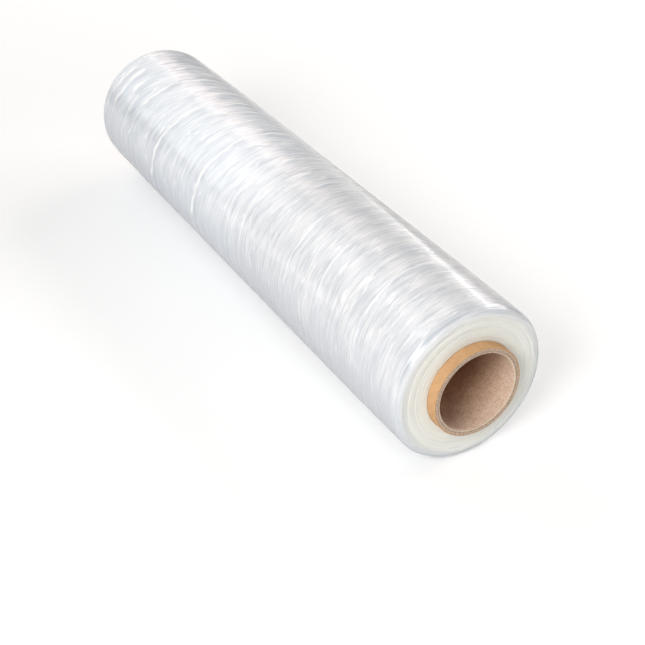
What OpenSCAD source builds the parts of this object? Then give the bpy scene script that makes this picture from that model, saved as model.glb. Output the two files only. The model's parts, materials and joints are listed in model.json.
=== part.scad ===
// A roll of clear stretch wrap: thin film wound tight on a cardboard tube.
// It lies on its side, on the narrow flat that its own weight presses into the film.
// X runs along the roll with the middle of the film at 0, and Z is up from the surface under it.
// Lengths are in millimetres.

/* [Film] */
// Width of the film, from end face to end face
film_width = 450; // [150:1:600]
// Diameter of the wound film at the middle of its width
roll_d = 102; // [80:0.5:180]
// How much the radius falls off from the middle to a shoulder, as the film thins towards its edges
crown_drop = 0.65; // [0:0.05:1.5]
// Radius of the soft shoulder between the side and an end face
shoulder_r = 5; // [1:0.5:9]
// Radial gap between the tube and the first turn
film_on_tube_gap = 0.05; // [0.02:0.01:0.2]

/* [Turns on the end faces] */
// Width of a group of turns that shows as one ring
turn_group = 1.8; // [1:0.1:5]
// Farthest that a group of turns lies in behind the end face
turn_set_back = 0.35; // [0:0.05:0.8]
// Width of the sloping step between two groups
turn_slope = 0.3; // [0.1:0.05:0.5]
// Place of the outer sunken ring, as a share of the way from the shoulder to the tube
outer_ring_at = 0.16; // [0.1:0.01:0.35]
// Place of the inner sunken ring, as a share of the same way
inner_ring_at = 0.45; // [0.4:0.01:0.8]
// Width of a sunken ring at the face
sunken_ring_w = 0.7; // [0.3:0.1:1.5]
// Depth of a sunken ring
sunken_ring_depth = 0.6; // [0.2:0.1:1.5]

/* [Bands and ripples on the side] */
// Length of the side, from the far shoulder, that was wound slack and rippled
rippled_length = 190; // [40:1:300]
// Distance from one ripple to the next
ripple_pitch = 12; // [6:0.5:30]
// Height of a ripple from hollow to crest
ripple_height = 0.3; // [0.05:0.05:1]
// Length of one band where the winding is even
band_length = 13; // [5:1:40]
// Most that two bands differ in radius
band_height = 0.12; // [0:0.02:0.5]

/* [Creases in the outer turns] */
// Height of a crease over the crests of the ripples
crease_height = 0.35; // [0.1:0.05:1]
// Width of a crease at its foot
crease_width = 3.2; // [1.5:0.1:6]
// Angle before the top of the roll about which the creases slant
crease_pivot = 35; // [0:5:60]

/* [Cardboard tube] */
// Bore of the tube, which a dispenser's spindle goes through
tube_bore_d = 51; // [25:0.5:77]
// Wall of the tube
tube_wall = 3.7; // [1.5:0.1:8]
// How far the tube stands out past each end face of the film
tube_stands_out = 7.2; // [0:0.1:40]
// Rounding of the outer edge of a cut end
tube_edge_r = 0.5; // [0.1:0.1:1.4]
// Bevel that the knife leaves on the inner edge of a cut end
tube_bore_bevel = 0.35; // [0.1:0.05:1.2]
// Thickness of one ply of card
ply = 0.72; // [0.3:0.02:1.2]
// Width and depth of the line between two plies on a cut end
ply_line = 0.14; // [0.04:0.02:0.3]

/* [Rest] */
// Depth of the flat that the roll's weight presses into its underside
rest_flat_depth = 0.8; // [0.2:0.05:3]

/* [Hidden] */
$fn = 128;

film_colour = [0.93, 0.94, 0.93];
card_colour = [0.80, 0.62, 0.43];

// The tube, and the film that is wound on it
tube_r = tube_bore_d / 2 + tube_wall;
tube_length = film_width + 2 * tube_stands_out;
film_bore_r = tube_r + film_on_tube_gap;
roll_r = roll_d / 2;

// The side of the film between its two shoulders
half_width = film_width / 2;
soft_r = min(shoulder_r, (roll_r - crown_drop - film_bore_r) / 3);
half_side = half_width - soft_r;
slack_length = min(rippled_length, half_side);
shoulder_top_r = roll_r - crown_drop;

// The end face from the shoulder down to the tube
face_top_r = shoulder_top_r - soft_r;
face_depth = face_top_r - film_bore_r;
groups = max(1, floor(face_depth / turn_group));
group_h = face_depth / groups;
group_slope = min(turn_slope, group_h / 3);

// Each crease: its place as a share of the side from the far shoulder, the angles where it starts and ends,
// counted from the top of the roll towards +Y, and how much it slants along the roll
creases = [
    [0.021, -52, -24, 9],
    [0.048, -66, -20, 13],
    [0.082, -46, -26, 17],
    [0.140, -50, 24, 18],
    [0.256, -82, 24, 18],
    [0.305, -12, 24, 14],
    [0.350, -12, 12, 11],
    [0.410, -82, 28, 10],
];

// The layers of a crease from its foot to its ridge: share of its width, share of its height, and share of its
// length that is left off at each end
CREASE_LAYERS = [[1, 0.5, 0], [0.5, 1, 0.08]];
// How deep a crease is rooted in the turns under it
CREASE_ROOT = 1.5;

// Height of the roll's axis over the surface that it lies on
axis_z = roll_r - rest_flat_depth;

// Samples along one ripple, and along one band
RIPPLE_SAMPLES = 4;
BAND_STATIONS = max(2, ceil((2 * half_side - slack_length) / band_length));
band_lift = rands(-band_height / 2, band_height / 2, BAND_STATIONS + 1, 41);
near_set_back = rands(0, turn_set_back, groups, 7);
far_set_back = rands(0, turn_set_back, groups, 19);

// Radius of the crowned side, at x from the middle of the width
function crown_r(x) = roll_r - crown_drop * pow(abs(x) / half_side, 4);

// Ripple at a distance d from the far shoulder, which fades out at both ends of the slack length
function ripple(d) =
    let (fade = sin(180 * d / slack_length))
    ripple_height / 2 * fade * (0.7 * sin(360 * d / ripple_pitch) + 0.3 * sin(360 * d / (2.3 * ripple_pitch)));

// Points of the side, from the far shoulder to the near one
function rippled_side() =
    let (step = ripple_pitch / RIPPLE_SAMPLES, count = floor(slack_length / step))
    [for (i = [0 : count - 1]) let (d = i * step) [d - half_side, crown_r(d - half_side) + ripple(d)]];

function banded_side() =
    let (start = slack_length - half_side, step = (half_side - start) / BAND_STATIONS)
    [for (i = [0 : BAND_STATIONS])
        let (x = start + i * step, ends = (i == 0 || i == BAND_STATIONS) ? 0 : 1)
        [x, crown_r(x) + ends * band_lift[i]]];

// Points of one end face from the shoulder inward: flat groups of turns with short slopes between them
function face_points(set_back) =
    [for (i = [0 : groups - 1])
        let (outer = face_top_r - i * group_h, x = half_width - (i == 0 ? 0 : set_back[i]))
        each [[x, outer - (i == 0 ? 0 : group_slope / 2)],
              [x, outer - group_h + (i == groups - 1 ? 0 : group_slope / 2)]]];

function mirrored(points) = [for (i = [len(points) - 1 : -1 : 0]) [-points[i][0], points[i][1]]];

// Section of the winding above the axis, drawn with x along the roll and y as radius
module film_section() {
    difference() {
        polygon(concat(
            mirrored(face_points(far_set_back)),
            [[-half_width, shoulder_top_r]],
            rippled_side(),
            banded_side(),
            [[half_width, shoulder_top_r]],
            face_points(near_set_back)
        ));
        for (side = [-1, 1])
            translate([side * half_width, 0]) {
                shoulder_cut(side);
                for (at = [outer_ring_at, inner_ring_at]) sunken_ring_cut(side, at);
            }
    }
}

// What the soft shoulder takes off a square corner, with x counted from the end face
module shoulder_cut(side) {
    translate([-side * soft_r, face_top_r])
        difference() {
            translate([side < 0 ? -2 * soft_r : 0, 0]) square(2 * soft_r);
            circle(soft_r);
        }
}

// Cut of a thin ring where one group of turns sank in, at a share of the way from the shoulder to the tube
module sunken_ring_cut(side, at) {
    translate([0, face_top_r - at * face_depth])
        polygon([[side, sunken_ring_w], [side, -sunken_ring_w],
                 [0, -sunken_ring_w / 2], [-side * sunken_ring_depth, 0], [0, sunken_ring_w / 2]]);
}

// Turns a section drawn along x about the roll's axis, between two angles from the top of the roll towards +Y
module wound(from = 0, to = 360) {
    translate([0, 0, axis_z])
        rotate([0, -90, 0])
            rotate([0, 0, from])
                rotate_extrude(angle = to - from) rotate([0, 0, -90]) children();
}

// A crease is a strip of a ring about the axis, as wide as a slanting plate, and it steps down to its foot all round
module crease(at, from, to, slant) {
    x = (2 * at - 1) * half_side;
    for (layer = CREASE_LAYERS) {
        top_r = crown_r(x) + ripple_height / 2 + layer[1] * crease_height;
        short = layer[2] * (to - from);
        intersection() {
            translate([x, 0, axis_z])
                rotate([crease_pivot - 90, 0, 0]) rotate([0, slant, 0])
                    cube([layer[0] * crease_width, 3 * roll_r, 3 * roll_r], center = true);
            wound(from + short, to - short)
                translate([-half_side, shoulder_top_r - CREASE_ROOT])
                    square([2 * half_side, top_r - shoulder_top_r + CREASE_ROOT]);
        }
    }
}

module film() {
    color(film_colour)
        difference() {
            union() {
                wound() film_section();
                for (c = creases) crease(c[0], c[1], c[2], c[3]);
            }
            translate([-film_width, -roll_d, -roll_d]) cube([2 * film_width, 2 * roll_d, roll_d]);
        }
}

// Half section of the tube's wall at one cut end, as a rounded and bevelled strip with lines between plies
module tube_section() {
    inner = tube_bore_d / 2;
    half = tube_length / 2;
    edge = min(tube_edge_r, tube_wall / 3);
    bevel = min(tube_bore_bevel, tube_wall / 3);
    lines = floor((tube_wall - edge - bevel) / ply);
    difference() {
        union() {
            translate([-half + edge, inner]) square([tube_length - 2 * edge, tube_wall]);
            translate([-half, inner]) square([tube_length, tube_wall - edge]);
            for (side = [-1, 1])
                translate([side * (half - edge), inner + tube_wall - edge]) circle(edge);
        }
        for (side = [-1, 1]) {
            translate([side * half, inner])
                polygon([[side, -1], [side, bevel + 1], [-side * (bevel + 1), -1]]);
            if (lines > 1)
                for (i = [1 : lines - 1])
                    translate([side * half, inner + bevel + i * ply])
                        polygon([[side, ply_line], [side, -ply_line], [0, -ply_line / 2], [-side * ply_line, 0],
                                 [0, ply_line / 2]]);
        }
    }
}

module tube() {
    color(card_colour) wound() tube_section();
}

tube();
film();
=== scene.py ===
"""Looks of a roll of clear stretch wrap: film wound tight on a cardboard tube, lying on its side."""
import json
import math
from collections import namedtuple

import bpy
import numpy as np
from mathutils import Matrix, Quaternion, Vector


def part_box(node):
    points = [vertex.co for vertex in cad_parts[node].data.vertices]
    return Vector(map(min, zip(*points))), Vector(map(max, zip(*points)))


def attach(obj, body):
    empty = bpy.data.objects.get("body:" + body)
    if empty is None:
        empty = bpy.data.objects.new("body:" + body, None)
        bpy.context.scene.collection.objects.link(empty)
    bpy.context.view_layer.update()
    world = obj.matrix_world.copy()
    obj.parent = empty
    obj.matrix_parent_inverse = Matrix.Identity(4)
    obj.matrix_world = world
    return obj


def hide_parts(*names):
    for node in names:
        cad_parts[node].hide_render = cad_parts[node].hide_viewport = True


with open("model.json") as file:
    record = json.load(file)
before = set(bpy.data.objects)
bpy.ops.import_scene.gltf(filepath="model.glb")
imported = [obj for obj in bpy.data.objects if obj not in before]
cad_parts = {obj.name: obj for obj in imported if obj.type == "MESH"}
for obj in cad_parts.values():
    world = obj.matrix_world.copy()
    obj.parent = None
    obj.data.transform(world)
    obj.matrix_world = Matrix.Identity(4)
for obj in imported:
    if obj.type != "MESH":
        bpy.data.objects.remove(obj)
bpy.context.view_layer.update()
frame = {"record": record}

MM = 0.001

# Sizes of the roll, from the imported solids

film_low, film_high = (Vector(corner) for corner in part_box("film"))
tube_low, tube_high = (Vector(corner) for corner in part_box("tube"))
bore_mount = next(m for m in frame["record"]["mounts"] if m["name"] == "tube_bore")

AXIS_HEIGHT = bore_mount["pos_m"][2]
FILM_HALF = (film_high.x - film_low.x) / 2
TUBE_HALF = (tube_high.x - tube_low.x) / 2
TUBE_R = (tube_high.y - tube_low.y) / 2
BORE_R = bore_mount["dims"]["r_mm"] * MM

# How deep the film is pressed flat where it rests
FLAT_DEPTH = 0.8 * MM
ROLL_R = AXIS_HEIGHT + FLAT_DEPTH
# The film thins towards its edges, so the radius falls off
CROWN_DROP = 0.65 * MM
CROWN_POWER = 4
SHOULDER_R = 5.0 * MM
FILM_ON_TUBE_GAP = 0.05 * MM

SHOULDER_TOP_R = ROLL_R - CROWN_DROP
FACE_TOP_R = SHOULDER_TOP_R - SHOULDER_R
SIDE_HALF = FILM_HALF - SHOULDER_R
FILM_BORE_R = TUBE_R + FILM_ON_TUBE_GAP
FACE_DEPTH = FACE_TOP_R - FILM_BORE_R


# Forms that both pieces share: a section turned about the roll's axis

def turn(name, section, around, relief, finishes):
    """A closed solid of revolution. section is rows of (x, radius, finish number), gone round in order, and
    relief(x, radius, angle) gives how far each point moves along x and outward, and the fields that its
    finish reads, by name."""
    rows = len(section)
    x, radius, finish = (np.array(column)[:, None] for column in zip(*section))
    angle = np.arange(around)[None, :] * (2 * math.pi / around)
    shift_x, shift_r, fields = relief(x, radius, angle)
    flat = np.zeros((rows, around))
    px = x + shift_x + flat
    pr = radius + shift_r + flat
    pz = np.maximum(AXIS_HEIGHT + pr * np.cos(angle), 0.0)
    points = np.stack([px, pr * np.sin(angle), pz], -1).reshape(-1, 3)

    row, column = np.meshgrid(np.arange(rows), np.arange(around), indexing="ij")
    next_row, next_column = (row + 1) % rows, (column + 1) % around
    quads = np.stack([row * around + column, next_row * around + column,
                      next_row * around + next_column, row * around + next_column], -1).reshape(-1, 4)

    mesh = bpy.data.meshes.new(name)
    mesh.from_pydata(points.tolist(), [], quads.tolist())
    mesh.polygons.foreach_set("material_index", np.repeat(finish.astype(int), around))
    mesh.polygons.foreach_set("use_smooth", np.ones(len(quads), bool))
    for key, values in fields.items():
        field = mesh.attributes.new(key, "FLOAT", "POINT")
        field.data.foreach_set("value", (values + flat).ravel().astype(np.float32))
    for material in finishes:
        mesh.materials.append(material)
    mesh.update()
    piece = bpy.data.objects.new(name, mesh)
    bpy.context.scene.collection.objects.link(piece)
    return piece


def waves(seed, count, pitch_range, turns_range):
    """A soft unevenness over x and angle, as a sum of slanting waves that close up round the roll."""
    draw = np.random.default_rng(seed)
    pitch = draw.uniform(*pitch_range, count)
    turns = draw.integers(turns_range[0], turns_range[1] + 1, count)
    phase = draw.uniform(0, 2 * math.pi, count)

    def height(x, angle):
        total = 0
        for p, t, f in zip(pitch, turns, phase):
            total = total + np.sin(2 * math.pi * x / p + t * angle + f)
        return total / math.sqrt(count)
    return height


def smooth_step(low, high, value):
    t = np.clip((value - low) / (high - low), 0, 1)
    return t * t * (3 - 2 * t)


# Creases in the outer turns of the film

# Each crease: its station along the roll in mm, the angles where it ends (degrees from the top towards +Y),
# its height and half width in mm, how much wider the knot at its lower end is, and its wobble in mm
Crease = namedtuple("Crease", "station low high height half_width knot wobble")
CREASES = [
    Crease(-158.5, -50, 24, 0.50, 1.7, 0.7, 0.8),
    Crease(-157.5, -66, -60, 0.34, 1.7, 0.0, 1.0),
    Crease(-156.5, -80, -71, 0.34, 1.5, 0.0, 1.0),
    Crease(-107.5, -97, -14, 0.50, 1.6, 0.3, 0.6),
    Crease(-107.0, -8, 24, 0.40, 1.6, 0.0, 1.2),
    Crease(-39.5, -97, -12, 0.50, 1.5, 0.4, 0.6),
    Crease(-39.5, -4, 28, 0.38, 1.6, 0.0, 0.7),
    Crease(-85.8, -12, 24, 0.42, 1.4, 0.0, 0.4),
    Crease(-66, -12, 12, 0.42, 1.5, 0.4, 0.5),
    Crease(-211, -52, -24, 0.44, 2.0, 0.0, 0.5),
    Crease(-199, -66, -20, 0.40, 2.2, 0.0, 0.8),
    Crease(-184, -46, -26, 0.38, 2.2, 0.3, 0.8),
    Crease(-172, -64, -40, 0.26, 2.2, 0.0, 0.8),
    Crease(-142.5, 6, 26, 0.30, 1.5, 0.0, 0.5),
    Crease(-128.5, 4, 28, 0.32, 1.3, 0.0, 0.5),
    Crease(-185, -4, 9, 0.40, 1.5, 0.3, 1.8),
    Crease(-25, -18, 4, 0.38, 1.3, 0.2, 2.0),
    Crease(10, -9, 6, 0.36, 1.3, 0.2, 1.8),
    Crease(34, -9, 6, 0.36, 1.2, 0.3, 1.6),
    Crease(55, -9, 24, 0.28, 1.0, 0.0, 0.4),
    Crease(88, -80, -16, 0.24, 0.8, 0.0, 0.5),
    Crease(124, -76, -18, 0.24, 0.8, 0.0, 0.5),
    Crease(172, -74, 16, 0.24, 0.9, 0.0, 0.5),
]
# Creases for the sides that don't face front: how many there are, between which angles they start, and
# between which lengths, in degrees, the longest that each may be is drawn
HIDDEN_CREASES = 26
HIDDEN_SEED = 43
HIDDEN_FROM = (55, 215)
HIDDEN_LONG = (12, 70)

# Degrees over which a crease rises from the side
CREASE_FADE = 7
# Degrees from the top where a crease comes to lie flat in the side, so the roll stays as wide as its solid
CREASE_SINKS = (74, 88)
# How many times in a whole turn a crease sways, shakes by half as much, and swells by a share of its height
SWAYS, SHAKES, SWELLS = 9, 31, 14
SWELL_SHARE = 0.2
# The knot of a crease in degrees: how far its middle lies from the crease's lower end, and its half length
KNOT_IN, KNOT_HALF = 4, 5
# The painted shade on one side of a crease, in the crease's half widths: how far off it lies, and its own
# half width
FLANK_OFF, FLANK_HALF = 2.6, 1.7
# A crease this high, in mm, is full of air, which shows white with a painted highlight between these shares
# of its height
FULL_HEIGHT = 0.42
AIR_SHOWS = (0.15, 0.75)


def all_creases():
    """The creases that show in front, and others at the same stations for the rest of the way round."""
    draw = np.random.default_rng(HIDDEN_SEED)
    hidden = []
    for _ in range(HIDDEN_CREASES):
        like = CREASES[draw.integers(len(CREASES))]
        low = draw.uniform(*HIDDEN_FROM)
        length = min(like.high - like.low, draw.uniform(*HIDDEN_LONG))
        hidden.append(like._replace(low=low, high=low + length))
    return CREASES + hidden


def crease_form(crease, station, angle):
    """At points of the side, from 0 to 1: how high on the crease they lie, and how near to its flank."""
    reach = (crease.high - crease.low) / 2
    degrees = (np.degrees(angle) - (crease.low + crease.high) / 2 + 180) % 360 - 180
    turned = np.radians(degrees)
    rise = 1 - smooth_step(reach - CREASE_FADE, reach + CREASE_FADE / 2, abs(degrees))
    rise = rise * (1 - SWELL_SHARE + SWELL_SHARE * np.sin(turned * SWELLS + 2 * crease.station))
    sway = crease.wobble * MM * (np.sin(turned * SWAYS + crease.station) + 0.5 * np.sin(turned * SHAKES))
    knot = 1 + crease.knot * np.exp(-((degrees + reach - KNOT_IN) / KNOT_HALF) ** 2)
    off = (station - crease.station * MM - sway) / (crease.half_width * MM * knot)
    return rise * np.exp(-off ** 2), rise * np.exp(-((off - FLANK_OFF) / FLANK_HALF) ** 2)


def crease_fields(station, angle):
    """At points of the side: the height of the creases, how white their air and a painted highlight make the
    film, and how much painted shade lies on one side of them."""
    height, air, flank = 0, 0, 0
    sideways = 90 - abs(abs(np.degrees(angle) - 180) - 90)
    stands_up = 1 - smooth_step(*CREASE_SINKS, sideways)
    for crease in all_creases():
        ridge, beside = crease_form(crease, station, angle)
        fullness = np.clip(crease.height / FULL_HEIGHT, 0, 1)
        height = height + crease.height * MM * ridge * stands_up
        air = np.maximum(air, fullness * smooth_step(*AIR_SHOWS, ridge))
        flank = np.maximum(flank, fullness * beside)
    return height, air, flank


# The section of the wound film

# Width of the groups of turns that show as rings on an end face, and how much of it slopes at each side
TURN_GROUP = 1.0 * MM
GROUP_SLOPE = 0.2
# Farthest that a group lies in behind the end face
TURN_SET_BACK = 0.12 * MM
# Rings where turns sank in, as shares of the way from the shoulder to the tube
SUNKEN_RINGS = (0.16, 0.45)
SUNKEN_RING_DEPTH = 0.2 * MM
# The sections lie close together within this reach of a crease's station
CREASE_REACH = 3.2 * MM
CREASE_STEP = 0.65 * MM
SIDE_STEP = 2.6 * MM
SHOULDER_STEPS = 12
FILM_AROUND = 224
NEAR_FACE_SEED, FAR_FACE_SEED = 7, 19


def crown_r(x):
    return ROLL_R - CROWN_DROP * (abs(x) / SIDE_HALF) ** CROWN_POWER


def end_face_section(seed):
    """(distance in from the end face, radius) from the shoulder down to the tube."""
    draw = np.random.default_rng(seed)
    count = int(FACE_DEPTH / TURN_GROUP)
    step = FACE_DEPTH / count
    sunken = [int(share * count) for share in SUNKEN_RINGS]
    rows = []
    for i in range(count):
        outer = FACE_TOP_R - i * step
        back = draw.uniform(0, TURN_SET_BACK) if i else 0
        if i in sunken:
            back = SUNKEN_RING_DEPTH
        rows.append((back, outer - GROUP_SLOPE * step))
        rows.append((back, outer - (1 - GROUP_SLOPE) * step))
    rows[-1] = (0.0, FILM_BORE_R)
    return rows


def shoulder_section():
    """(distance in from the end face, radius) over a shoulder, from the side down to the end face."""
    rows = []
    for i in range(SHOULDER_STEPS + 1):
        a = math.pi / 2 * i / SHOULDER_STEPS
        rows.append((SHOULDER_R * (1 - math.sin(a)), FACE_TOP_R + SHOULDER_R * math.cos(a)))
    return rows


def side_stations():
    """Stations along the side, set close together where a crease runs."""
    middles = sorted({c.station * MM for c in CREASES})
    stations = [-SIDE_HALF]
    while stations[-1] < SIDE_HALF - SIDE_STEP:
        near_crease = min(abs(stations[-1] + CREASE_STEP - m) for m in middles) < CREASE_REACH
        stations.append(stations[-1] + (CREASE_STEP if near_crease else SIDE_STEP))
    return stations[1:-1]


def film_section():
    """The outline of the winding, once round: side, near shoulder and face, bore, far face and shoulder."""
    side = [(v, crown_r(v), 0) for v in side_stations()]
    near = shoulder_section()[:-1] + end_face_section(NEAR_FACE_SEED)
    far = shoulder_section()[:-1] + end_face_section(FAR_FACE_SEED)
    return (side + [(FILM_HALF - back, r, 0) for back, r in near]
            + [(-FILM_HALF + back, r, 0) for back, r in reversed(far)])


# The unevenness of the wound film

# How far the stations lean along the roll, in mm, at stations along it in mm, and the angle before the top
# where the lean is nil
LEAN = ((-225, 0), (-212, 8), (-185, 16), (-160, 17), (-105, 16.5), (-65, 10), (-30, 8), (20, 0),
        (85, -5), (125, -8), (180, -5), (215, 0), (225, 0))
LEAN_MIDDLE = math.radians(35)

# The film is wound slack from the far shoulder up to here: where the slackness rises, and where it falls
SLACK_END = -SIDE_HALF + 190 * MM
SLACK_RISES = (-SIDE_HALF - 4 * MM, -SIDE_HALF + 20 * MM)
SLACK_FALLS = (SLACK_END - 90 * MM, SLACK_END)

RIPPLE_HEIGHT = 0.16 * MM
RIPPLE_SWELL_SHARE = 0.35
BAND_HEIGHT = 0.03 * MM
SHOULDER_RING_HEIGHT = 0.05 * MM
ripples = waves(seed=3, count=7, pitch_range=(10 * MM, 17 * MM), turns_range=(-2, 2))
ripple_swell = waves(seed=5, count=4, pitch_range=(60 * MM, 140 * MM), turns_range=(-3, 3))
bands = waves(seed=11, count=6, pitch_range=(9 * MM, 30 * MM), turns_range=(-1, 1))
shoulder_rings = waves(seed=23, count=5, pitch_range=(2.2 * MM, 5 * MM), turns_range=(-1, 1))

# How much less the roll stands out at its widest than at its top, and how narrowly this keeps to the sides
SIDES_DRAWN_IN = 0.24 * MM
DRAWN_IN_POWER = 6

# Where the side's unevenness runs out over a shoulder, along the roll and in radius
SIDE_RUNS_OUT = (SIDE_HALF - 3 * MM, SIDE_HALF + 2.5 * MM)
FACE_RUNS_OUT = (FACE_TOP_R, FACE_TOP_R + 2 * MM)
# Where the shoulder meets the end face, along the section, and where edges of film start to show round it
FACE_EDGE = SIDE_HALF + SHOULDER_R * math.pi / 2
EDGES_SHOW = (FACE_EDGE - 3.5 * MM, FACE_EDGE + 4 * MM)


def lean(station, angle):
    along, amount = zip(*LEAN)
    return np.interp(station / MM, along, amount) * MM * np.sin(angle + LEAN_MIDDLE)


def slackness(station):
    """How slack the film was wound: 1 in the far part, and nil at the shoulders and in the tight part."""
    return smooth_step(*SLACK_RISES, station) * (1 - smooth_step(*SLACK_FALLS, station))


def distance_along(x, radius):
    """Distance along the section from the middle of the side: over a shoulder and down an end face too."""
    over = SHOULDER_R * np.arctan2(abs(x) - SIDE_HALF, np.maximum(radius - FACE_TOP_R, 1e-9))
    down = np.maximum(FACE_TOP_R - radius, 0)
    return np.where(abs(x) > SIDE_HALF, np.sign(x) * (SIDE_HALF + over + down), x)


def film_relief(x, radius, angle):
    """The lean of the stations, and the side's unevenness, which runs out over the shoulders."""
    on_side = 1 - smooth_step(*SIDE_RUNS_OUT, abs(x))
    above_face = smooth_step(*FACE_RUNS_OUT, radius)
    creases, air, flank = crease_fields(x, angle)
    swell = 1 - RIPPLE_SWELL_SHARE + RIPPLE_SWELL_SHARE * ripple_swell(x, angle)
    slack = slackness(x) * swell * RIPPLE_HEIGHT * ripples(x, angle)
    drawn_in = SIDES_DRAWN_IN * np.abs(np.sin(angle)) ** DRAWN_IN_POWER
    side = slack + BAND_HEIGHT * bands(x, angle) + creases - drawn_in
    rings = SHOULDER_RING_HEIGHT * shoulder_rings(radius, angle)
    out = above_face * (on_side * side + (1 - on_side) * rings)
    station = distance_along(x, radius)
    fields = {"station": station, "air": on_side * above_face * air, "flank": on_side * above_face * flank,
              "edge_on": smooth_step(*EDGES_SHOW, abs(station))}
    return above_face * lean(x, angle), out, fields


# The cardboard tube

TUBE_EDGE_R = 0.5 * MM
TUBE_EDGE_STEPS = 4
BORE_BEVEL = 0.35 * MM
PLY = 0.72 * MM
THINNEST_PLY = 0.3 * MM
PLY_LINE = 0.12 * MM
TUBE_AROUND = 288
# Rings of points along the wall, by their distance from a cut end
WALL_RINGS = (4 * MM, 9 * MM, 20 * MM, 60 * MM)
KRAFT_FINISH, CUT_FINISH, BORE_FINISH = 0, 1, 2
# The outer ply's paper reaches over the rounded edge up to this row of the cut end
KRAFT_ROWS = 3

# How deep the knife tears a cut end, how far its fibres stand out, and where along the tube both set in
TORN_DEPTH = 0.035 * MM
FIBRES_OUT = 0.02 * MM
TORN_FROM = (TUBE_HALF - 1.2 * MM, TUBE_HALF - 0.2 * MM)
torn = waves(seed=31, count=14, pitch_range=(0.7 * MM, 2.5 * MM), turns_range=(-90, 90))
# The fibres are read this far off in the same waves, so that they are out of step with the tears
FIBRES_OFF = 5 * MM


def cut_end_section():
    """(distance in from the cut end, radius) from the outer edge to the bore's bevel, with lines between
    plies."""
    rows = []
    for i in range(TUBE_EDGE_STEPS + 1):
        a = math.pi / 2 * i / TUBE_EDGE_STEPS
        rows.append((TUBE_EDGE_R * (1 - math.sin(a)), TUBE_R - TUBE_EDGE_R + TUBE_EDGE_R * math.cos(a)))
    r = TUBE_R - TUBE_EDGE_R
    while r - PLY > BORE_R + BORE_BEVEL + THINNEST_PLY:
        r -= PLY
        rows += [(0, r + PLY / 2), (0, r + PLY_LINE), (PLY_LINE, r), (0, r - PLY_LINE)]
    rows += [(0, BORE_R + BORE_BEVEL), (BORE_BEVEL, BORE_R)]
    return rows


def wall_section(radius, finish):
    """The straight part of the wall at a radius, from the far end to the near one."""
    far = [(-TUBE_HALF + d, radius, finish) for d in WALL_RINGS]
    near = [(TUBE_HALF - d, radius, finish) for d in reversed(WALL_RINGS)]
    return far + near


def tube_section():
    """The outline of the tube's wall, once round."""
    end = cut_end_section()
    near = [(TUBE_HALF - back, r, KRAFT_FINISH if i < KRAFT_ROWS else CUT_FINISH)
            for i, (back, r) in enumerate(end)]
    near[-1] = near[-1][:2] + (BORE_FINISH,)
    far = [(-TUBE_HALF + back, r, CUT_FINISH if i > KRAFT_ROWS else KRAFT_FINISH)
           for i, (back, r) in reversed(list(enumerate(end)))]
    outside, inside = wall_section(TUBE_R, KRAFT_FINISH), wall_section(BORE_R, BORE_FINISH)
    return outside + near + inside[::-1] + far


def tube_relief(x, radius, angle):
    """The knife leaves the cut ends slightly torn."""
    at_end = smooth_step(*TORN_FROM, abs(x))
    cut = at_end * torn(radius, angle) * TORN_DEPTH
    out = at_end * torn(radius + FIBRES_OFF, angle) * FIBRES_OUT
    return -np.sign(x) * np.abs(cut), np.minimum(out, FIBRES_OUT), {}


# Node helpers

NODES_IN_ROW = 8
NODE_ACROSS, NODE_DOWN = 220, -260


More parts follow.
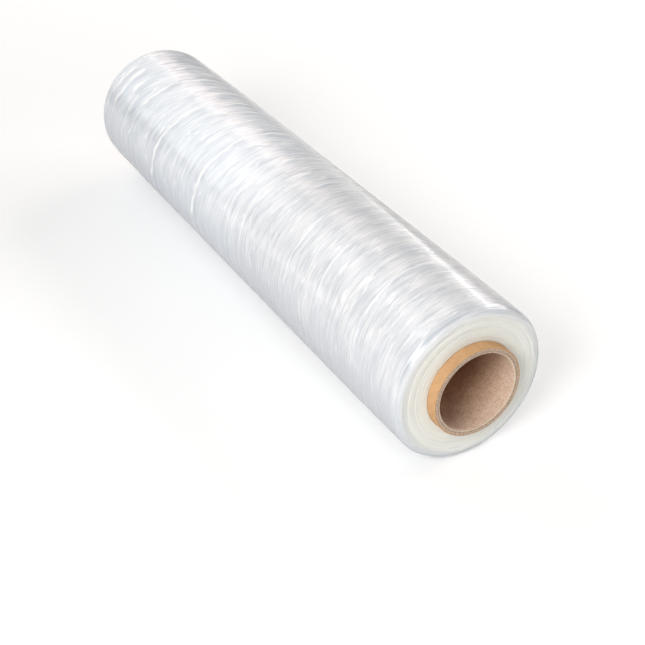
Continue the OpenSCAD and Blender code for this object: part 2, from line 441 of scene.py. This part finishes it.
class Nodes:
    """Adds and joins shader nodes in one tree, and lays them out in rows."""

    def __init__(self, tree):
        self.tree = tree
        self.count = 0

    def add(self, kind, inputs=None, **settings):
        node = self.tree.nodes.new(kind)
        row, column = divmod(self.count, NODES_IN_ROW)
        node.location = (NODE_ACROSS * column, NODE_DOWN * row)
        self.count += 1
        for name, value in settings.items():
            setattr(node, name, value)
        for name, value in (inputs or {}).items():
            self.set(node.inputs[name], value)
        return node

    def set(self, socket, value):
        if isinstance(value, bpy.types.NodeSocket):
            self.tree.links.new(value, socket)
        else:
            socket.default_value = value

    def math(self, operation, *values):
        node = self.add("ShaderNodeMath", operation=operation)
        for socket, value in zip(node.inputs, values):
            self.set(socket, value)
        return node.outputs[0]

    def vector(self, operation, *values):
        node = self.add("ShaderNodeVectorMath", operation=operation)
        for socket, value in zip(node.inputs, values):
            self.set(socket, value)
        return node.outputs[0]

    def scaled(self, vector, factor):
        node = self.add("ShaderNodeVectorMath", {"Scale": factor}, operation="SCALE")
        self.set(node.inputs[0], vector)
        return node.outputs[0]

    def mix(self, factor, first, second):
        node = self.add("ShaderNodeMix", data_type="RGBA")
        self.set(node.inputs[0], factor)
        self.set(node.inputs[6], first)
        self.set(node.inputs[7], second)
        return node.outputs[2]

    def span(self, value, low, high, to_low=0.0, to_high=1.0, smooth=False):
        """value from low..high onto to_low..to_high, held at the ends."""
        node = self.add("ShaderNodeMapRange", interpolation_type="SMOOTHSTEP" if smooth else "LINEAR")
        given = {"Value": value, "From Min": low, "From Max": high, "To Min": to_low, "To Max": to_high}
        for name, v in given.items():
            self.set(node.inputs[name], v)
        return node.outputs[0]

    def line(self, value, middle, half_width, share, core=0.0):
        """A soft line where value passes middle: share at its core, and nil beyond half_width."""
        off = self.math("ABSOLUTE", self.math("SUBTRACT", value, middle))
        return self.span(off, core, half_width, share, 0.0, smooth=True)

    def noise(self, vector, scale=1.0, detail=2.0, rough=0.5):
        node = self.add("ShaderNodeTexNoise", {"Vector": vector, "Detail": detail, "Roughness": rough})
        self.set(node.inputs["Scale"], scale)
        return node.outputs["Fac"]

    def blend(self, *parts):
        """The sum of (value, share) pairs."""
        (value, share), *others = parts
        total = self.math("MULTIPLY", value, share)
        for value, share in others:
            total = self.math("MULTIPLY_ADD", value, share, total)
        return total

    def between(self, share, first, second):
        return self.math("MULTIPLY_ADD", share, self.math("SUBTRACT", second, first), first)

    def attribute(self, name):
        return self.add("ShaderNodeAttribute", attribute_name=name).outputs["Fac"]

    def group(self, tree, inputs):
        node = self.add("ShaderNodeGroup", node_tree=tree)
        for name, value in inputs.items():
            self.set(node.inputs[name], value)
        return node.outputs


def new_group(name, inputs, outputs):
    """An empty shader node group with named sockets, and its helper, input sockets and output node."""
    tree = bpy.data.node_groups.new(name, "ShaderNodeTree")
    for socket, kind, default in inputs:
        made = tree.interface.new_socket(name=socket, in_out="INPUT", socket_type=kind)
        if default is not None:
            made.default_value = default
    for socket, kind in outputs:
        tree.interface.new_socket(name=socket, in_out="OUTPUT", socket_type=kind)
    nodes = Nodes(tree)
    return tree, nodes, nodes.add("NodeGroupInput").outputs, nodes.add("NodeGroupOutput")


FLOAT, VECTOR = "NodeSocketFloat", "NodeSocketVector"
# The parts of the noise's range that count as streaks, as their strongest strokes, and as flecks or clouds
STREAK_RANGE, SHARP_RANGE, FLECK_RANGE = (0.28, 0.72), (0.60, 0.72), (0.3, 0.7)


def roll_space_group():
    """Where a point lies on the roll: its place along the axis, its radius, and a vector square to it."""
    tree, nodes, given, out = new_group(
        "roll_space",
        [("Axis Height", FLOAT, 0.05)],
        [("Along", FLOAT), ("Radius", FLOAT), ("Across Axis", VECTOR)])
    place = nodes.add("ShaderNodeTexCoord").outputs["Object"]
    lift = nodes.add("ShaderNodeCombineXYZ", {"Z": given["Axis Height"]}).outputs[0]
    from_axis = nodes.vector("SUBTRACT", place, lift)
    square = nodes.vector("MULTIPLY", from_axis, (0.0, 1.0, 1.0))
    length = nodes.add("ShaderNodeVectorMath", operation="LENGTH")
    nodes.set(length.inputs[0], square)
    along = nodes.add("ShaderNodeSeparateXYZ", {"Vector": place}).outputs["X"]
    nodes.set(out.inputs["Along"], along)
    nodes.set(out.inputs["Radius"], length.outputs["Value"])
    nodes.set(out.inputs["Across Axis"], square)
    return tree


def wound_streaks_group():
    """Streaks that run round the roll: Spacing apart, Run long, drifting sideways by Drift, with finer
    hairs in them. Streak is all of them, and Sharp only the strongest."""
    tree, nodes, given, out = new_group(
        "wound_streaks",
        [("Station", FLOAT, 0.0), ("Across Axis", VECTOR, None), ("Spacing", FLOAT, 0.002),
         ("Run", FLOAT, 0.04), ("Drift", FLOAT, 0.001), ("Hair", FLOAT, 2.0), ("Seed", FLOAT, 0.0)],
        [("Streak", FLOAT), ("Sharp", FLOAT)])
    around = nodes.scaled(given["Across Axis"], nodes.math("DIVIDE", 1.0, given["Run"]))
    slow = nodes.noise(around, scale=0.6)
    moved = nodes.math("MULTIPLY_ADD", nodes.math("SUBTRACT", slow, 0.5), given["Drift"], given["Station"])
    step = nodes.math("ADD", nodes.math("DIVIDE", moved, given["Spacing"]), given["Seed"])
    where = nodes.vector("ADD", nodes.add("ShaderNodeCombineXYZ", {"X": step}).outputs[0], around)
    streak = nodes.noise(where, detail=given["Hair"], rough=0.55)
    nodes.set(out.inputs["Streak"], nodes.span(streak, *STREAK_RANGE))
    nodes.set(out.inputs["Sharp"], nodes.span(streak, *SHARP_RANGE, smooth=True))
    return tree


def card_fibre_group():
    """Fibres and flecks of recycled card."""
    tree, nodes, given, out = new_group(
        "card_fibre",
        [("Fleck Size", FLOAT, 0.0006), ("Depth", FLOAT, 1.0)],
        [("Fleck", FLOAT), ("Cloud", FLOAT), ("Height", FLOAT)])
    place = nodes.add("ShaderNodeTexCoord").outputs["Object"]
    stretched = nodes.vector("MULTIPLY", place, (0.6, 1.0, 1.0))
    flecks_a_metre = nodes.math("DIVIDE", 1.0, given["Fleck Size"])
    fleck = nodes.noise(stretched, scale=flecks_a_metre, detail=4.0, rough=0.65)
    cloud = nodes.noise(place, scale=260.0, detail=3.0, rough=0.55)
    nodes.set(out.inputs["Fleck"], nodes.span(fleck, *FLECK_RANGE))
    nodes.set(out.inputs["Cloud"], nodes.span(cloud, *FLECK_RANGE))
    nodes.set(out.inputs["Height"], nodes.math("MULTIPLY", fleck, given["Depth"]))
    return tree


ROLL_SPACE = roll_space_group()
WOUND_STREAKS = wound_streaks_group()
CARD_FIBRE = card_fibre_group()


def new_finish(name, **constants):
    """A material with one Principled BSDF, whose constants are set on its own sockets."""
    material = bpy.data.materials.new(name)
    material.use_nodes = True
    tree = material.node_tree
    tree.nodes.clear()
    nodes = Nodes(tree)
    surface = nodes.add("ShaderNodeBsdfPrincipled", constants)
    output = nodes.add("ShaderNodeOutputMaterial", {"Surface": surface.outputs[0]})
    output.location = (400, 300)
    surface.location = (100, 300)
    return material, nodes, surface


# The finish of the film

# Film that clings to the turn under it, in the slack part and in the tight part
CLEAR_COOL = (0.635, 0.675, 0.735, 1)
CLEAR_TIGHT = (0.57, 0.60, 0.645, 1)
# Film with a little air under it, in the slack part and in the tight part
HAZE_WHITE = (0.915, 0.935, 0.96, 1)
HAZE_WARM = (0.955, 0.94, 0.935, 1)
# The folds of a crease, white from their air and from a painted highlight, and the painted shade on one side
# of it
AIR_AND_HIGHLIGHT_WHITE = (1.0, 1.0, 1.0, 1)
FLANK_SHADE = (0.58, 0.63, 0.69, 1)
FLANK_SHADE_SHARE = 0.8
# Edges of film, seen end on: by the tube, by the shoulder, and in the paler rings
EDGE_DEEP = (0.79, 0.80, 0.745, 1)
EDGE_RIM = (0.88, 0.88, 0.815, 1)
EDGE_LIGHT = (0.93, 0.93, 0.90, 1)

# Streaks of each kind: how far apart, how long and how far they drift, in mm, their hairs, and their seed
STREAKS = {
    "broad": (8, 24, 7, 1.0, 3.0),
    "middle": (3.2, 22, 5, 1.0, 11.0),
    "fine": (0.8, 18, 3, 2.5, 29.0),
    "stroke": (3.4, 12, 5, 1.0, 47.0),
    "groove": (0.4, 30, 0.4, 1.0, 61.0),
}
# The streaks turn finer between these stations
STREAKS_FINER = (-40 * MM, 70 * MM)
# How much each kind of streak counts for the haze, the bumps and the rings of an end face
SLACK_HAZE = {"broad": 0.26, "middle": 0.36, "fine": 0.38}
TIGHT_HAZE = {"broad": 0.08, "middle": 0.40, "fine": 0.52}
SLACK_BUMPS = {"broad": 0.5, "middle": 0.35, "fine": 0.12, "stroke": 0.45}
TIGHT_BUMPS = {"middle": 0.45, "fine": 0.9, "stroke": 0.35}
FACE_BUMPS = {"groove": 0.6, "fine": 0.1}
FACE_RINGS = {"middle": 0.5, "fine": 0.3, "broad": 0.2}
# Haze from nil to full, and how white it makes the tight part
HAZE_RANGE = (0.2, 0.75)
TIGHT_HAZE_WHITE = (0.05, 0.7)
# How white the strokes are: in the slack part, in the tight part, and low on the roll in the painted shade
SLACK_STROKES, TIGHT_STROKES, LOW_SHADE_STROKES = 0.8, 0.45, 0.15
# Painted shade: the film turns clearer and darker towards the bottom of the roll, fully below the first of
# these heights over the axis and not at all above the second. Where it is full, this share of the haze gives
# way to this even haze
LOW_SHADE_HEIGHTS = (-0.15 * ROLL_R, 0.55 * ROLL_R)
LOW_SHADE_SHARE = 0.85
LOW_SHADE_HAZE = 0.22
# The distance that the bumps stand up at full height, and the share of it that they have in a crease
FILM_BUMP = 0.3 * MM
CREASE_BUMP = 0.7

# Lines on the shoulder, where the last turns end short of the others: how far past the side, and how strong
RIM_LINES = ((-2.2 * MM, 0.4), (0.4 * MM, 0.6), (2.9 * MM, 1.0))
RIM_LINE_HALF = 0.65 * MM
RIM_GREY = (0.48, 0.53, 0.60, 1)
# Spans are (low, high, share at low, share at high): the broad streaks make the lines patchy, and the lines
# are lost low on the roll, in the painted shade
RIM_PATCHY = (0.1, 0.7, 0.3, 0.9)
RIM_LOST = (0.0, 0.6, 1.0, 0.0)
# The line in a sunken ring of an end face
RING_LINE_HALF = 0.5 * MM
RING_LINE_CORE = 0.1 * MM
RING_GREY = (0.62, 0.65, 0.66, 1)
RING_PATCHY = (0.35, 0.75, 0.05, 0.6)
# The span of the streaks that shows as paler rings
PALER_RINGS = (0.35, 0.9, 0.0, 0.5)
# Painted bounce light: the tube's tan laid on the film beside it, and a painted highlight on the rim of the
# first turns: how far out, and how strong
CARD_BOUNCE_PAINT = (0.80, 0.62, 0.44, 1)
BOUNCE_REACH, BOUNCE_SHARE = 2.0 * MM, 0.04
FIRST_TURNS_HIGHLIGHT, FIRST_TURNS_HIGHLIGHT_SHARE = (0.2 * MM, 0.5 * MM), 0.6

SLACK_GLOSS = (0.14, 0.24)
TIGHT_GLOSS = (0.09, 0.17)
GLOSS_RANGE = (0.25, 0.75)
FACE_GLOSS = 0.34


class FilmSurface:
    """What the film's finish is worked out from: the place of a point, its fields and the streaks."""

    def __init__(self, nodes):
        self.nodes = nodes
        place = nodes.group(ROLL_SPACE, {"Axis Height": AXIS_HEIGHT})
        self.radius, across = place["Radius"], place["Across Axis"]
        self.station, self.air = nodes.attribute("station"), nodes.attribute("air")
        self.flank, self.edge_on = nodes.attribute("flank"), nodes.attribute("edge_on")
        self.tight = nodes.span(self.station, *STREAKS_FINER, smooth=True)
        height = nodes.add("ShaderNodeSeparateXYZ", {"Vector": across}).outputs["Z"]
        # Painted shade low on the roll: full at the bottom, nil high up
        self.low_shade = nodes.span(height, *LOW_SHADE_HEIGHTS, 1.0, 0.0, smooth=True)
        self.streaks = {kind: self.streak(across, kind) for kind in STREAKS}

    def streak(self, across, kind):
        spacing, run, drift, hair, seed = STREAKS[kind]
        made = self.nodes.group(WOUND_STREAKS, {
            "Station": self.station, "Across Axis": across, "Spacing": spacing * MM, "Run": run * MM,
            "Drift": drift * MM, "Hair": hair, "Seed": seed})
        return made["Sharp" if kind == "stroke" else "Streak"]

    def sum_of(self, shares):
        return self.nodes.blend(*((self.streaks[kind], share) for kind, share in shares.items()))


def film_side_colour(nodes, film):
    """Clear film with hazy streaks, white strokes, creases white from their air and a painted highlight,
    painted shade beside the creases, and grey lines on the shoulder.
    """
    haze = nodes.between(film.tight, film.sum_of(SLACK_HAZE), film.sum_of(TIGHT_HAZE))
    # Painted shade: the film clearer and darker towards the bottom of the roll
    haze = nodes.between(nodes.math("MULTIPLY", film.low_shade, LOW_SHADE_SHARE), haze, LOW_SHADE_HAZE)
    whiter = nodes.between(film.tight, nodes.span(haze, *HAZE_RANGE),
                           nodes.span(haze, *HAZE_RANGE, *TIGHT_HAZE_WHITE))
    clear = nodes.mix(film.tight, CLEAR_COOL, CLEAR_TIGHT)
    colour = nodes.mix(whiter, clear, nodes.mix(film.tight, HAZE_WHITE, HAZE_WARM))
    # Painted shade on one side of each crease
    colour = nodes.mix(nodes.math("MULTIPLY", film.flank, FLANK_SHADE_SHARE), colour, FLANK_SHADE)
    strokes = nodes.span(film.tight, 0, 1, SLACK_STROKES, TIGHT_STROKES)
    # Fewer white strokes in the painted shade low on the roll
    strokes = nodes.between(film.low_shade, strokes, LOW_SHADE_STROKES)
    # The creases' white: their air, and partly a painted highlight
    white = nodes.math("MAXIMUM", film.air, nodes.math("MULTIPLY", film.streaks["stroke"], strokes))
    return nodes.mix(rim_lines(nodes, film), nodes.mix(white, colour, AIR_AND_HIGHLIGHT_WHITE), RIM_GREY)


def rim_lines(nodes, film):
    """Lines on the shoulder, patchy, and lost low on the roll, in the painted shade."""
    station = nodes.math("ABSOLUTE", film.station)
    lines = nodes.blend(*((nodes.line(station, SIDE_HALF + past, RIM_LINE_HALF, 1.0), share)
                          for past, share in RIM_LINES))
    patchy = nodes.span(film.streaks["broad"], *RIM_PATCHY)
    clear_of_low_shade = nodes.span(film.low_shade, *RIM_LOST)
    return nodes.math("MULTIPLY", nodes.math("MULTIPLY", lines, patchy), clear_of_low_shade)


def film_face_colour(nodes, film):
    """The edges of the film, seen end on: rings in paler and deeper tones, painted bounce light from the tube
    inside, and a painted highlight on the first turns.
    """
    colour = nodes.mix(nodes.span(film.radius, FILM_BORE_R, FACE_TOP_R), EDGE_DEEP, EDGE_RIM)
    rings = nodes.span(film.sum_of(FACE_RINGS), *PALER_RINGS)
    colour = nodes.mix(rings, colour, EDGE_LIGHT)
    # Painted bounce light: the tube's colour laid on the film next to it
    glow = nodes.span(film.radius, FILM_BORE_R, FILM_BORE_R + BOUNCE_REACH, BOUNCE_SHARE, 0.0, smooth=True)
    colour = nodes.mix(glow, colour, CARD_BOUNCE_PAINT)
    # Painted highlight: a pale ring on the first turns by the tube
    inner, outer = (FILM_BORE_R + reach for reach in FIRST_TURNS_HIGHLIGHT)
    colour = nodes.mix(nodes.span(film.radius, inner, outer, FIRST_TURNS_HIGHLIGHT_SHARE, 0.0), colour, EDGE_LIGHT)
    patchy = nodes.span(film.streaks["broad"], *RING_PATCHY)
    for share in SUNKEN_RINGS:
        line = nodes.line(film.radius, FACE_TOP_R - share * FACE_DEPTH, RING_LINE_HALF, 1.0, RING_LINE_CORE)
        colour = nodes.mix(nodes.math("MULTIPLY", line, patchy), colour, RING_GREY)
    return colour


def film_gloss(nodes, film):
    """Roughness: smoother where the film is wound tight, and dull on the end faces."""
    slack = nodes.span(film.streaks["middle"], *GLOSS_RANGE, *SLACK_GLOSS)
    tight = nodes.span(film.streaks["fine"], *GLOSS_RANGE, *TIGHT_GLOSS)
    return nodes.between(film.edge_on, nodes.between(film.tight, slack, tight), FACE_GLOSS)


def film_bumps(nodes, film):
    """Height of the streaks on the side, and of the grooves between turns on the end faces."""
    side = nodes.between(film.tight, film.sum_of(SLACK_BUMPS), film.sum_of(TIGHT_BUMPS))
    side = nodes.between(film.air, side, CREASE_BUMP)
    return nodes.between(film.edge_on, side, film.sum_of(FACE_BUMPS))


def film_finish():
    """Glossy film: streaks of trapped air run round its side, and its edges show as rings on its ends."""
    material, nodes, surface = new_finish("wound_film", **{
        "IOR": 1.6, "Specular IOR Level": 0.7, "Anisotropic": 0.75, "Anisotropic Rotation": 0.25})
    film = FilmSurface(nodes)
    colour = nodes.mix(film.edge_on, film_side_colour(nodes, film), film_face_colour(nodes, film))
    round_axis = nodes.add("ShaderNodeTangent", direction_type="RADIAL", axis="X")
    bump = nodes.add("ShaderNodeBump", {
        "Strength": 0.8, "Distance": FILM_BUMP, "Height": film_bumps(nodes, film)})
    nodes.set(surface.inputs["Base Color"], colour)
    nodes.set(surface.inputs["Roughness"], film_gloss(nodes, film))
    nodes.set(surface.inputs["Tangent"], round_axis.outputs[0])
    nodes.set(surface.inputs["Normal"], bump.outputs[0])
    return material


# The finishes of the card

KRAFT = (0.68, 0.415, 0.22, 1)
KRAFT_DARK = (0.52, 0.295, 0.14, 1)
PULP = (0.20, 0.115, 0.068, 1)
PULP_PALE = (0.79, 0.62, 0.48, 1)
# A painted highlight along the bore's edge of a cut end, where its bevel catches the light
LIP_HIGHLIGHT = (0.88, 0.76, 0.64, 1)
CHIPBOARD = (0.40, 0.225, 0.135, 1)
CHIPBOARD_PALE = (0.87, 0.70, 0.57, 1)
# Painted shade in the bore: what the card's colour is multiplied by deep inside, and how far behind the cut
# end the painted shade deepens
BORE_PAINTED_SHADE = (0.72, 0.43, 0.22, 1)
BORE_SHADE_DEEPENS = (6 * MM, 55 * MM)
UNTINTED = (1, 1, 1, 1)
CARD_BUMP = 0.2 * MM

# First a painted highlight along the bore's edge, then plies whose cut edges show in another tone: radius,
# half width, tint and how strong
CUT_PLIES = ((BORE_R + 0.35 * MM, 0.32 * MM, LIP_HIGHLIGHT, 0.6), (BORE_R + 1.3 * MM, 0.35 * MM, PULP, 0.25),
             (BORE_R + 2.2 * MM, 0.4 * MM, PULP_PALE, 0.2), (TUBE_R - 0.3 * MM, 0.6 * MM, KRAFT_DARK, 0.8))
# The share of a ply's half width that shows its full tint
PLY_CORE = 0.4


def card_finish(name, dark, pale, fleck_size, depth, bumps, clouds, lay_over=None):
    """Card of one kind: its dark and pale tones, the size in mm and the depth of its flecks, how rough it
    feels and how cloudy it is. lay_over(nodes, colour) gives its colour with other tones laid over it."""
    material, nodes, surface = new_finish(name, **{
        "Roughness": 0.85, "IOR": 1.45, "Specular IOR Level": 0.15})
    fibre = nodes.group(CARD_FIBRE, {"Fleck Size": fleck_size * MM, "Depth": depth})
    tone = nodes.blend((fibre["Fleck"], 1 - clouds), (fibre["Cloud"], clouds))
    colour = nodes.mix(tone, dark, pale)
    if lay_over:
        colour = lay_over(nodes, colour)
    bump = nodes.add("ShaderNodeBump", {
        "Strength": bumps, "Distance": CARD_BUMP, "Height": fibre["Height"]})
    nodes.set(surface.inputs["Base Color"], colour)
    nodes.set(surface.inputs["Normal"], bump.outputs[0])
    return material


def ply_rings(nodes, colour):
    """The cut edges of some plies, as faint rings, and a painted highlight along the bore's edge."""
    radius = nodes.group(ROLL_SPACE, {"Axis Height": AXIS_HEIGHT})["Radius"]
    for middle, half_width, tint, share in CUT_PLIES:
        ply = nodes.line(radius, middle, half_width, share, PLY_CORE * half_width)
        colour = nodes.mix(ply, colour, tint)
    return colour


def painted_shade_inside(nodes, colour):
    """Painted shade in the bore: the card darker and browner far behind the cut ends."""
    along = nodes.group(ROLL_SPACE, {"Axis Height": AXIS_HEIGHT})["Along"]
    behind = nodes.math("SUBTRACT", TUBE_HALF, nodes.math("ABSOLUTE", along))
    # Painted shade: the card darkens with depth behind the cut end
    tint = nodes.mix(nodes.span(behind, *BORE_SHADE_DEEPENS), UNTINTED, BORE_PAINTED_SHADE)
    return nodes.vector("MULTIPLY", colour, tint)


def kraft_finish():
    """The smooth brown paper of the outer ply."""
    return card_finish("kraft_ply", KRAFT_DARK, KRAFT, fleck_size=0.5, depth=0.6, bumps=0.25, clouds=0.5)


def cut_finish():
    """The speckled pulp of the cut ends."""
    return card_finish("cut_pulp", PULP, PULP_PALE, fleck_size=0.85, depth=1.0, bumps=1.0, clouds=0.1,
                       lay_over=ply_rings)


def bore_finish():
    """The grey-brown chipboard of the bore, with painted shade deep inside."""
    return card_finish("bore_chipboard", CHIPBOARD, CHIPBOARD_PALE, fleck_size=0.5, depth=1.0, bumps=0.7,
                       clouds=0.2, lay_over=painted_shade_inside)


# Table, light and camera

TABLE_HALF = 0.8
TABLE_BELOW = 0.2 * MM
TABLE_WHITE = (0.80, 0.80, 0.80, 1)
WHITE = (1, 1, 1, 1)
# Light that the table adds for the camera alone, so that it shows white
TABLE_ADDS = 0.26
AMBIENT = 0.07

ROLL_MIDDLE = Vector((0, 0, 0.06))
NEAR_THIRD = Vector((0.15, 0, 0.08))
FAR_HALF = Vector((-0.1, 0, 0.08))


def floor():
    """A plain white table, which shows white where nothing shades it."""
    corners = [(x * TABLE_HALF, y * TABLE_HALF, 0) for x, y in ((-1, -1), (1, -1), (1, 1), (-1, 1))]
    mesh = bpy.data.meshes.new("floor")
    mesh.from_pydata(corners, [], [(0, 1, 2, 3)])
    piece = bpy.data.objects.new("floor", mesh)
    bpy.context.scene.collection.objects.link(piece)
    piece.location.z = -TABLE_BELOW
    material, nodes, surface = new_finish("white_table", **{
        "Base Color": TABLE_WHITE, "Roughness": 1.0, "Specular IOR Level": 0.0, "Emission Color": WHITE})
    seen = nodes.add("ShaderNodeLightPath").outputs["Is Camera Ray"]
    nodes.set(surface.inputs["Emission Strength"], nodes.math("MULTIPLY", seen, TABLE_ADDS))
    mesh.materials.append(material)


def studio_air():
    """Soft light from all sides, and plain white where the camera looks past everything."""
    world = bpy.data.worlds.new("studio")
    bpy.context.scene.world = world
    world.use_nodes = True
    world.node_tree.nodes.clear()
    nodes = Nodes(world.node_tree)
    seen = nodes.add("ShaderNodeLightPath").outputs["Is Camera Ray"]
    strength = nodes.span(seen, 0, 1, AMBIENT, 1.0)
    sky = nodes.add("ShaderNodeBackground", {"Color": WHITE, "Strength": strength})
    nodes.add("ShaderNodeOutputWorld", {"Surface": sky.outputs[0]})


# Power of a lamp for each square metre of its face at a glow of 1
POWER_AT_GLOW = 4


def softbox(name, place, aim, along, length, breadth, glow, colour=(1, 1, 1), beam=180):
    """A soft lamp at place that lights aim, with its length laid along a given direction. glow is how
    bright its face is, and beam is how widely its light fans out, in degrees, as through a grid."""
    lamp = bpy.data.lights.new(name, "AREA")
    lamp.shape = "RECTANGLE"
    lamp.size, lamp.size_y = length, breadth
    lamp.energy = POWER_AT_GLOW * glow * length * breadth
    if beam < 180:
        half = math.radians(beam) / 2
        lamp.spread = 2 * half
        lamp.energy *= 1 - half / math.tan(half)
    lamp.color = colour
    piece = bpy.data.objects.new(name, lamp)
    place, x = Vector(place), Vector(along).normalized()
    z = place - aim
    z = (z - z.dot(x) * x).normalized()
    piece.matrix_world = Matrix.Translation(place) @ Matrix((x, z.cross(x), z)).transposed().to_4x4()
    piece.visible_camera = False
    bpy.context.scene.collection.objects.link(piece)


def lamps():
    """Keys by the camera, walls of light behind and to the left, and the panels that the gloss picks up."""
    softbox("key_side", (0.70, -1.0, 0.80), ROLL_MIDDLE, (0.82, 0.57, 0), 0.6, 0.6,
            glow=9.9, colour=(1.0, 0.985, 0.975))
    softbox("key_high", (1.0, -0.35, 0.95), ROLL_MIDDLE, (0.3, 0.95, 0), 0.5, 0.5,
            glow=2.1, colour=(0.95, 1.0, 0.99))
    softbox("face_front", (1.45, -0.02, 0.14), NEAR_THIRD, (0, 1, 0), 0.4, 0.24,
            glow=4.8, colour=(0.98, 1.0, 1.0))
    softbox("front_low", (1.05, -0.55, 0.16), NEAR_THIRD, (0, 0, 1), 0.24, 0.30,
            glow=1.2, colour=(0.90, 0.98, 1.0))
    softbox("cool_wall", (-1.34, -0.36, 0.72), ROLL_MIDDLE, (-0.26, 0.97, 0), 1.5, 0.95,
            glow=1.32, colour=(0.98, 1.0, 1.0))
    softbox("back_wall", (-0.1, 1.2, 0.75), ROLL_MIDDLE, (1, 0, 0), 1.6, 0.6,
            glow=3.6, colour=(1.0, 0.96, 0.93))
    softbox("warm_panel", (-0.98, 0.32, 0.60), FAR_HALF, (0.926, 0.28, 0.26), 0.42, 0.30,
            glow=1.9, colour=(1.0, 0.80, 0.74))
    softbox("overhead_back", (-0.71, -0.34, 0.90), NEAR_THIRD, (0, 0.925, 0.38), 0.62, 0.42,
            glow=3.9, colour=(1.0, 0.96, 0.93), beam=36)
    softbox("overhead_right", (-0.66, 0.17, 0.93), NEAR_THIRD, (0, 0.97, -0.24), 0.36, 0.24,
            glow=2.0, colour=(1.0, 0.985, 0.975), beam=36)
    softbox("low_left", (-0.62, -0.78, 0.235), NEAR_THIRD, (0, 0, 1), 0.42, 0.34,
            glow=3.0, colour=(1.0, 0.98, 0.97), beam=36)
    softbox("back_strip", (-0.53, 0.70, 0.235), NEAR_THIRD, (-0.496, 0, -0.868), 0.44, 0.022, glow=5.5)


AIM = Vector((0.0508, 0.0, -0.0075))
CAMERA_DISTANCE = 0.8491
# From +X towards +Y
CAMERA_AZIMUTH = math.radians(-28.433)
CAMERA_ELEVATION = math.radians(34.06)
CAMERA_ROLL = math.radians(-1.429)
LENS_MM, SENSOR_MM = 67.98, 36


def camera():
    """The camera, at the photograph's viewing angle."""
    data = bpy.data.cameras.new("camera")
    data.lens = LENS_MM
    data.sensor_width = SENSOR_MM
    back = Vector((math.cos(CAMERA_ELEVATION) * math.cos(CAMERA_AZIMUTH),
                   math.cos(CAMERA_ELEVATION) * math.sin(CAMERA_AZIMUTH),
                   math.sin(CAMERA_ELEVATION)))
    piece = bpy.data.objects.new("camera", data)
    piece.location = AIM + CAMERA_DISTANCE * back
    level = (-back).to_track_quat("-Z", "Y")
    piece.rotation_mode = "QUATERNION"
    piece.rotation_quaternion = level @ Quaternion((0, 0, 1), CAMERA_ROLL)
    bpy.context.scene.collection.objects.link(piece)
    bpy.context.scene.camera = piece


# Putting it together

bpy.context.scene.view_settings.view_transform = "Standard"
camera()
studio_air()
floor()
lamps()

film = turn("wound_film", film_section(), FILM_AROUND, film_relief, [film_finish()])
tube = turn("card_tube", tube_section(), TUBE_AROUND, tube_relief,
            [kraft_finish(), cut_finish(), bore_finish()])
for piece, node, slot in ((film, "film", "clear_film"), (tube, "tube", "card")):
    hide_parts(node)
    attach(piece, "root")
